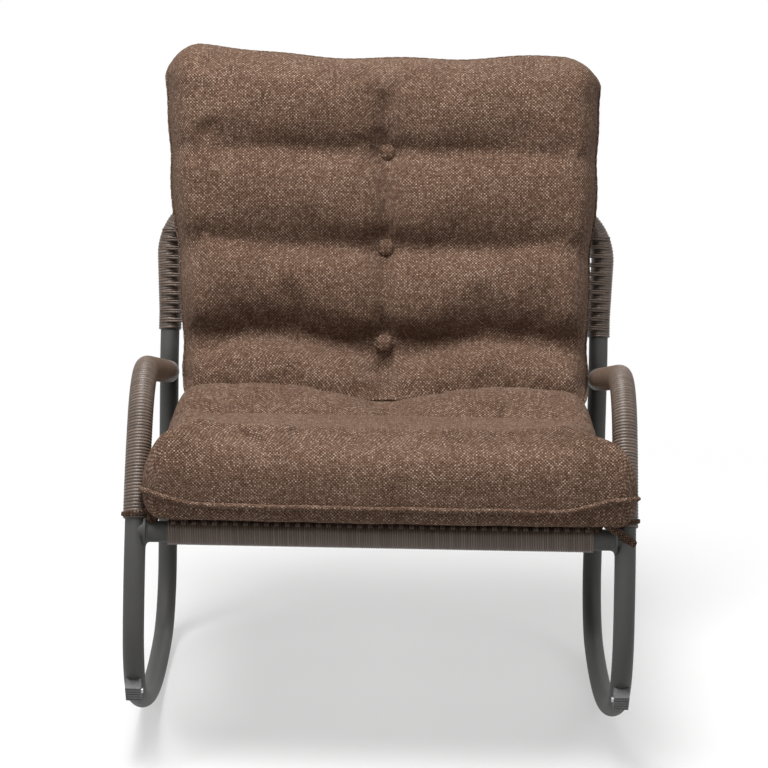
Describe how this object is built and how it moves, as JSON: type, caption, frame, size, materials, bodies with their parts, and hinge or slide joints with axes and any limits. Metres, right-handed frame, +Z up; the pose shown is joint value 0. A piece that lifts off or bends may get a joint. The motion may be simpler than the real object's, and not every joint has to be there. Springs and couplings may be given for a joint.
{
  "type": "outdoor rocking chair",
  "caption": "Outdoor rocking chair: bent tube side loops on curved runners, strand-wrapped arms and low back loop, strand seat, and a folded tufted pad whose back half lifts forward.",
  "frame": {"origin": "on the floor, midway between the two points where the runners touch it at rest", "axes": "+Z up, the sitter faces -Y, +X to the right of a viewer who looks at the chair's front"},
  "size_m": [0.6828, 0.7418, 0.8794],
  "materials": {
    "frame_coat": "satin charcoal powder coat on steel tube",
    "hardware": "zinc-plated steel",
    "wicker": "satin taupe-brown polyethylene strand",
    "glide_plastic": "grooved grey plastic",
    "pad_fabric": "brown heather tweed with beige flecks",
    "tie_tape": "plain brown fabric tape"
  },
  "bodies": {
    "chair_frame": {"left_arm_leg_tube": "frame_coat", "right_arm_leg_tube": "frame_coat", "left_rocker_tube": "frame_coat", "right_rocker_tube": "frame_coat", "left_back_spigot": "hardware", "right_back_spigot": "hardware", "back_joint_bolts": "hardware", "back_loop_tube": "frame_coat", "back_loop_wrap": "wicker", "left_arm_wrap": "wicker", "right_arm_wrap": "wicker", "front_rail": "frame_coat", "rear_rail": "frame_coat", "front_rail_wrap": "wicker", "rear_rail_wrap": "wicker", "seat_strands": "wicker", "back_strands": "wicker", "left_glide": "glide_plastic", "right_glide": "glide_plastic", "glide_screws": "hardware", "seat_pad": "pad_fabric", "seat_button": "pad_fabric", "fold_seam": "pad_fabric", "front_piping": "pad_fabric", "left_tie": "tie_tape", "right_tie": "tie_tape"},
    "back_cushion": {"back_pad": "pad_fabric", "back_buttons": "pad_fabric"}
  },
  "joints": [
    {"name": "cushion_fold", "type": "hinge", "parent": "chair_frame", "child": "back_cushion", "pos_m": [0, 0.10498, 0.39517], "axis": [1, 0, 0], "range_deg": [0, 26]}
  ]
}
